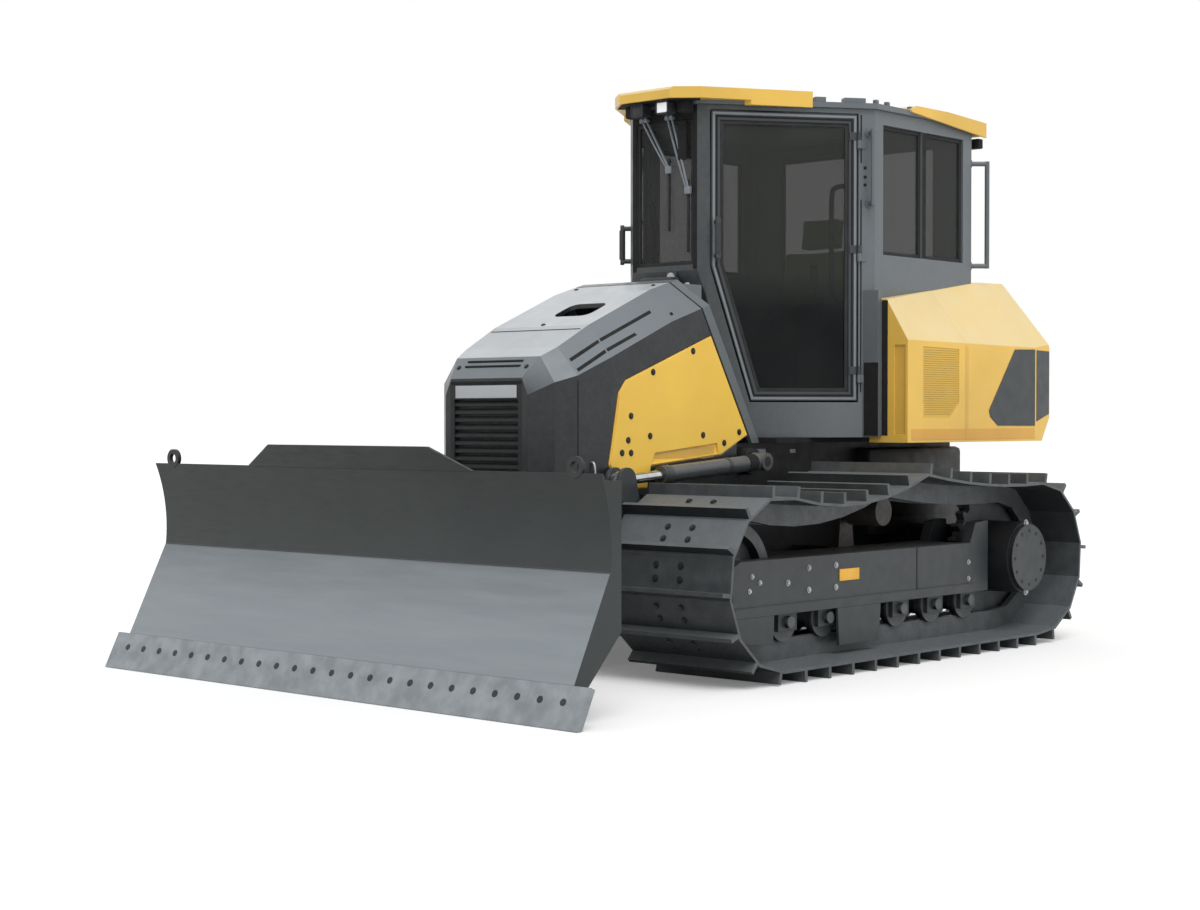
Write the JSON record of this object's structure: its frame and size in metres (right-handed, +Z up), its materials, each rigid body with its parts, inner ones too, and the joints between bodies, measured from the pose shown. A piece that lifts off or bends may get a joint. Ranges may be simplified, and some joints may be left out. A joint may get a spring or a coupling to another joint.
{
  "type": "bulldozer",
  "caption": "Small tracked bulldozer with enclosed cab, sloping hood and a six-way blade that lifts, angles and tilts on an open push frame with its cylinders",
  "frame": {"origin": "bottom centre of the bounding box, on the ground under the tracks", "axes": "+X forward toward the blade, +Y to the machine's left, +Z up"},
  "size_m": [4.75, 3.25, 3.0103],
  "materials": {
    "body_paint": "semi-gloss",
    "cab_paint": "satin",
    "dark_paint": "semi-gloss",
    "blade_paint": "worn",
    "worn_steel": "worn",
    "track_steel": "worn",
    "rod_chrome": "polished",
    "dark_plastic": "matte",
    "seat_cover": "woven",
    "tinted_glass": "clear",
    "lamp": "gloss"
  },
  "bodies": {
    "chassis": {"track_left": "track_steel", "track_right": "track_steel", "idlers": "track_steel", "sprockets": "track_steel", "final_drives": "dark_paint", "track_rollers": "track_steel", "carrier_rollers": "track_steel", "track_frame_left": "cab_paint", "track_frame_right": "cab_paint", "main_frame": "dark_paint", "engine_block": "dark_paint", "drawbar": "dark_paint", "hood": "dark_paint", "cowl": "cab_paint", "grille": "dark_plastic", "side_panel_left": "body_paint", "side_panel_right": "body_paint", "exhaust_outlet": "dark_paint", "cab_frame": "cab_paint", "cab_floor": "dark_plastic", "seat": "seat_cover", "windshield": "tinted_glass", "rear_glass": "tinted_glass", "side_glass_left": "tinted_glass", "side_glass_right": "tinted_glass", "roof": "cab_paint", "roof_visor": "body_paint", "roof_cover": "body_paint", "fender_left": "body_paint", "fender_right": "body_paint", "rear_hood": "body_paint", "rear_grille": "dark_plastic", "handrails": "cab_paint", "work_lights": "lamp"},
    "push_frame": {"push_frame": "cab_paint"},
    "yoke": {"yoke": "cab_paint"},
    "blade": {"moldboard": "blade_paint", "cutting_edge": "worn_steel", "end_bits": "worn_steel"},
    "lift_barrel_left": {"lift_barrel_left": "cab_paint"},
    "lift_barrel_right": {"lift_barrel_right": "cab_paint"},
    "lift_rod_left": {"lift_rod_left": "rod_chrome"},
    "lift_rod_right": {"lift_rod_right": "rod_chrome"},
    "angle_barrel_left": {"angle_barrel_left": "cab_paint"},
    "angle_barrel_right": {"angle_barrel_right": "cab_paint"},
    "angle_rod_left": {"angle_rod_left": "rod_chrome"},
    "angle_rod_right": {"angle_rod_right": "rod_chrome"},
    "tilt_barrel": {"tilt_barrel": "cab_paint"},
    "tilt_rod": {"tilt_rod": "rod_chrome"},
    "door_left": {"door_left": "cab_paint", "door_glass_left": "tinted_glass"},
    "door_right": {"door_right": "cab_paint", "door_glass_right": "tinted_glass"}
  },
  "joints": [
    {"name": "blade_lift", "type": "hinge", "parent": "chassis", "child": "push_frame", "pos_m": [-0.35, 0, 0.45], "axis": [0, -1, 0], "range_deg": [-10, 19]},
    {"name": "blade_angle", "type": "hinge", "parent": "push_frame", "child": "yoke", "pos_m": [1.7, 0, 0.46], "axis": [0, 0, 1], "range_deg": [-22, 22]},
    {"name": "blade_tilt", "type": "hinge", "parent": "yoke", "child": "blade", "pos_m": [1.95, 0, 0.46], "axis": [1, 0, 0], "range_deg": [-8, 8]},
    {"name": "lift_barrel_left_swing", "type": "hinge", "parent": "chassis", "child": "lift_barrel_left", "pos_m": [-0.25, 0.548, 1.03], "axis": [0, -1, 0], "range_deg": [-11.2, 21.2]},
    {"name": "lift_rod_left_stroke", "type": "slide", "parent": "lift_barrel_left", "child": "lift_rod_left", "axis": [0.9978, 0, -0.0668], "range_m": [-0.19, 0.1]},
    {"name": "lift_barrel_right_swing", "type": "hinge", "parent": "chassis", "child": "lift_barrel_right", "pos_m": [-0.25, -0.548, 1.03], "axis": [0, -1, 0], "range_deg": [-11.2, 21.2]},
    {"name": "lift_rod_right_stroke", "type": "slide", "parent": "lift_barrel_right", "child": "lift_rod_right", "axis": [0.9978, 0, -0.0668], "range_m": [-0.19, 0.1]},
    {"name": "angle_barrel_left_swing", "type": "hinge", "parent": "push_frame", "child": "angle_barrel_left", "pos_m": [1.12, 0.555, 0.662], "axis": [0, 0, 1], "range_deg": [-1.6, 1.6]},
    {"name": "angle_rod_left_stroke", "type": "slide", "parent": "angle_barrel_left", "child": "angle_rod_left", "axis": [0.9824, -0.1868, 0], "range_m": [-0.168, 0.168]},
    {"name": "angle_barrel_right_swing", "type": "hinge", "parent": "push_frame", "child": "angle_barrel_right", "pos_m": [1.12, -0.555, 0.662], "axis": [0, 0, 1], "range_deg": [-1.6, 1.6]},
    {"name": "angle_rod_right_stroke", "type": "slide", "parent": "angle_barrel_right", "child": "angle_rod_right", "axis": [0.9824, 0.1868, 0], "range_m": [-0.168, 0.168]},
    {"name": "tilt_barrel_swing", "type": "hinge", "parent": "yoke", "child": "tilt_barrel", "pos_m": [1.908, -0.29, 0.83], "axis": [1, 0, 0], "range_deg": [-4.4, 4.4]},
    {"name": "tilt_rod_stroke", "type": "slide", "parent": "tilt_barrel", "child": "tilt_rod", "axis": [0, 1, 0], "range_m": [-0.053, 0.053]},
    {"name": "door_left_swing", "type": "hinge", "parent": "chassis", "child": "door_left", "pos_m": [-0.8208, 0.77576, 2.15], "axis": [0, 0, 1], "range_deg": [0, 95]},
    {"name": "door_right_swing", "type": "hinge", "parent": "chassis", "child": "door_right", "pos_m": [-0.8208, -0.77576, 2.15], "axis": [0, 0, -1], "range_deg": [0, 95]}
  ],
  "couplings": [
    {"joint": "lift_barrel_left_swing", "follows": "blade_lift", "ratio": 1.1012},
    {"joint": "lift_rod_left_stroke", "follows": "blade_lift", "m_per_rad": -0.56249},
    {"joint": "lift_barrel_right_swing", "follows": "blade_lift", "ratio": 1.1012},
    {"joint": "lift_rod_right_stroke", "follows": "blade_lift", "m_per_rad": -0.56249},
    {"joint": "angle_barrel_left_swing", "follows": "blade_angle", "ratio": 0.06745},
    {"joint": "angle_rod_left_stroke", "follows": "blade_angle", "m_per_rad": -0.43203},
    {"joint": "angle_barrel_right_swing", "follows": "blade_angle", "ratio": 0.06745},
    {"joint": "angle_rod_right_stroke", "follows": "blade_angle", "m_per_rad": 0.43203},
    {"joint": "tilt_barrel_swing", "follows": "blade_tilt", "ratio": 0.53204},
    {"joint": "tilt_rod_stroke", "follows": "blade_tilt", "m_per_rad": -0.36972}
  ]
}
